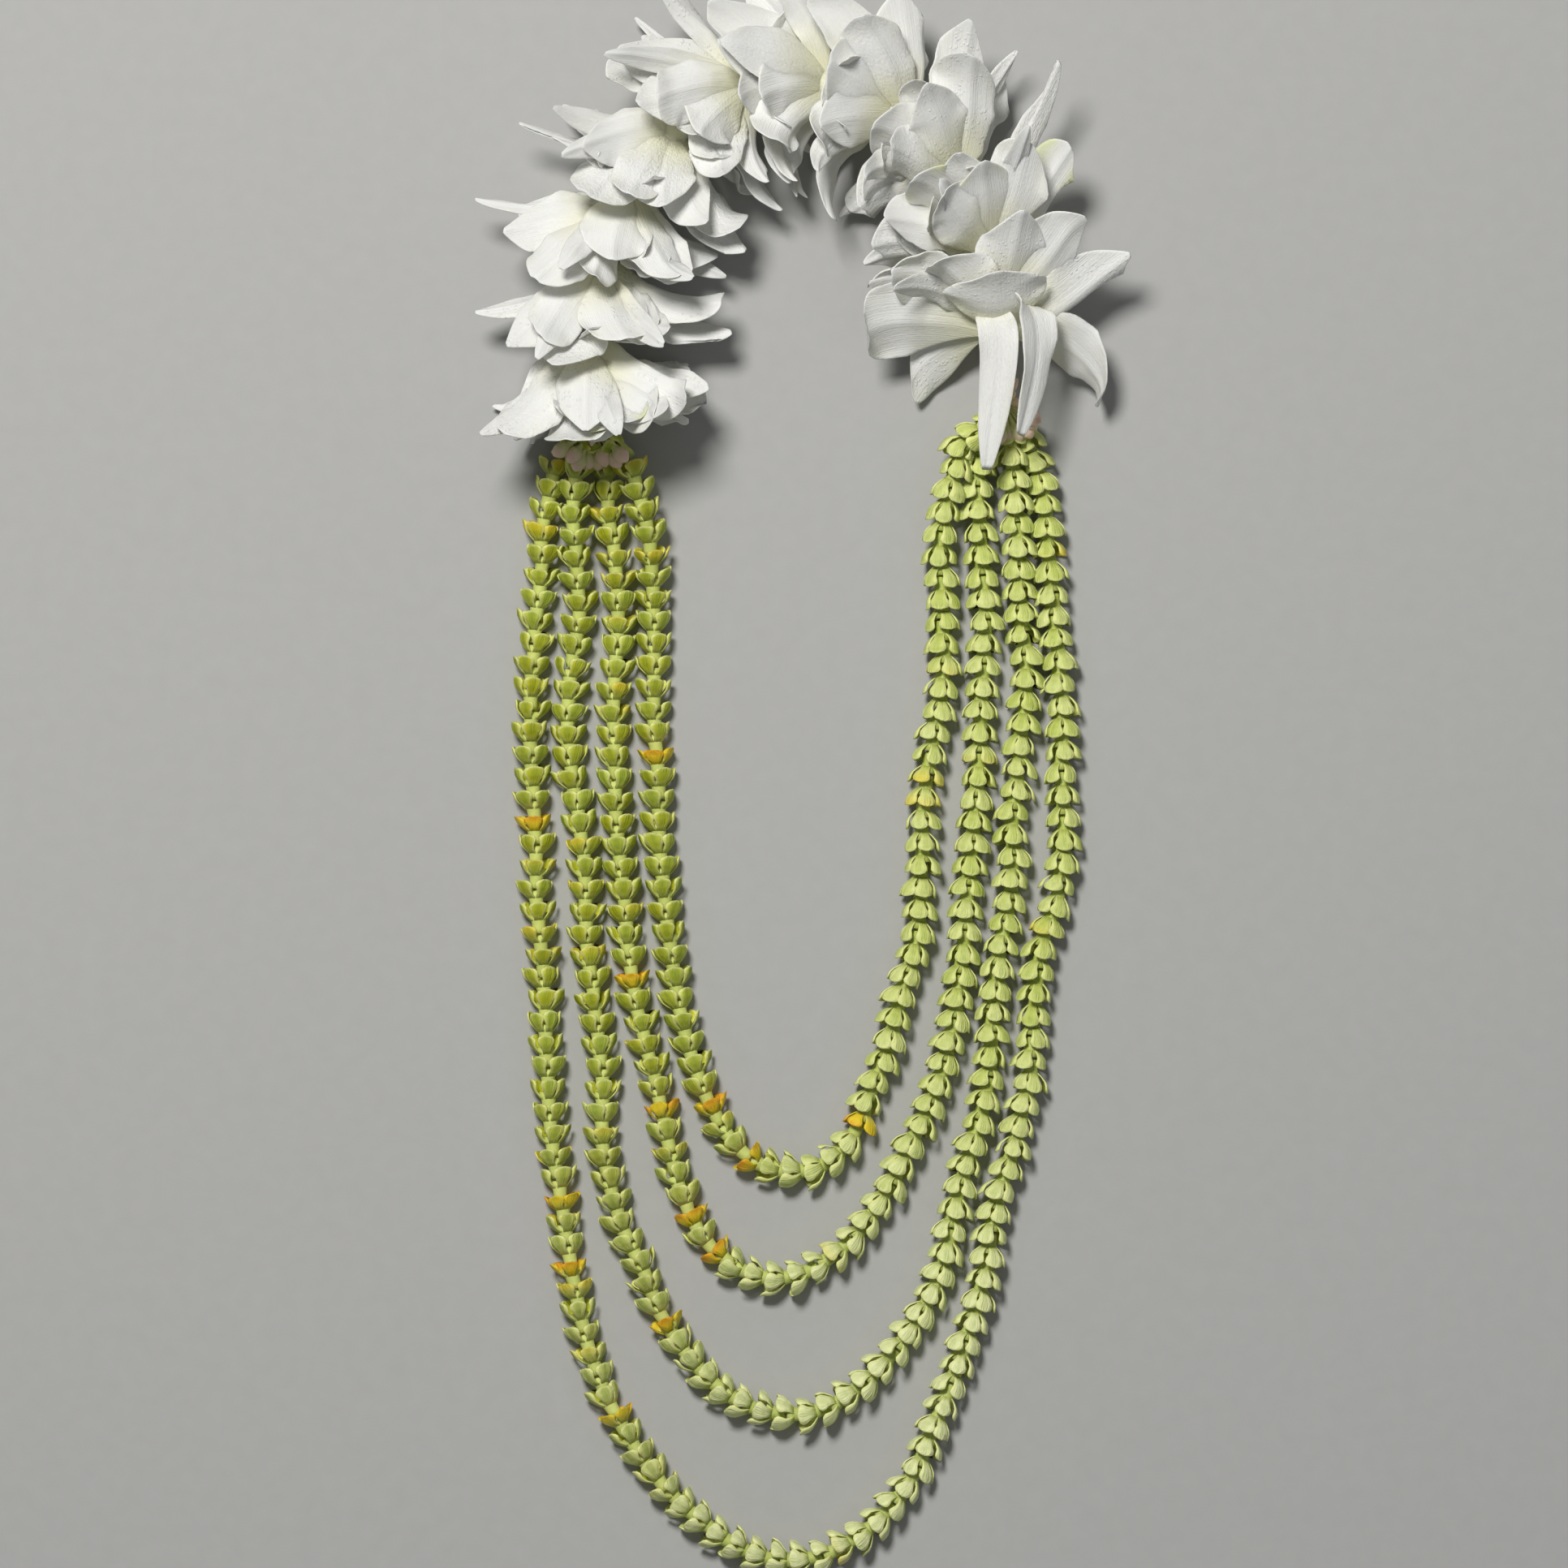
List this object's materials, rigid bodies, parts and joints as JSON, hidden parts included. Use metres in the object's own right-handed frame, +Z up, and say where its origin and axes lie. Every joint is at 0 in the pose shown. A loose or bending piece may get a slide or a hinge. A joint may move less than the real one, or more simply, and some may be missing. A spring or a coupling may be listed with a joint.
{
  "type": "flower lei",
  "caption": "Fresh flower lei lying flat: a full white gardenia garland on the neck arc, bud collars, and nested strands of small green flowers.",
  "frame": {"origin": "on the surface that the lei lies on, below the middle of its bounding box", "axes": "+Y from the strands' bow to the neck arc, +Z up from the surface, +X to the right seen from above"},
  "size_m": [0.2189, 0.5516, 0.0508],
  "materials": {
    "white_petal": "satin fresh petal",
    "bud": "waxy bud",
    "lime_flower": "fleshy matte petal",
    "olive_flower": "fleshy matte petal",
    "thread": "matte twine"
  },
  "bodies": {
    "root": {"bud_collar_left": "bud", "bud_collar_right": "bud", "gardenia_1": "white_petal", "gardenia_10": "white_petal", "gardenia_2": "white_petal", "gardenia_3": "white_petal", "gardenia_4": "white_petal", "gardenia_5": "white_petal", "gardenia_6": "white_petal", "gardenia_7": "white_petal", "gardenia_8": "white_petal", "gardenia_9": "white_petal", "garland_cord": "thread", "strand_1_bow_1": "lime_flower", "strand_1_bow_2": "lime_flower", "strand_1_bow_3": "olive_flower", "strand_1_bow_4": "olive_flower", "strand_1_left_leg": "olive_flower", "strand_1_right_leg": "lime_flower", "strand_2_bow_1": "lime_flower", "strand_2_bow_2": "lime_flower", "strand_2_bow_3": "olive_flower", "strand_2_bow_4": "olive_flower", "strand_2_left_leg": "olive_flower", "strand_2_right_leg": "lime_flower", "strand_3_bow_1": "lime_flower", "strand_3_bow_2": "lime_flower", "strand_3_bow_3": "olive_flower", "strand_3_bow_4": "olive_flower", "strand_3_left_leg": "olive_flower", "strand_3_right_leg": "lime_flower", "strand_4_bow_1": "lime_flower", "strand_4_bow_2": "lime_flower", "strand_4_bow_3": "olive_flower", "strand_4_bow_4": "olive_flower", "strand_4_left_leg": "olive_flower", "strand_4_right_leg": "lime_flower", "thread_1": "thread", "thread_2": "thread", "thread_3": "thread", "thread_4": "thread"}
  },
  "joints": []
}
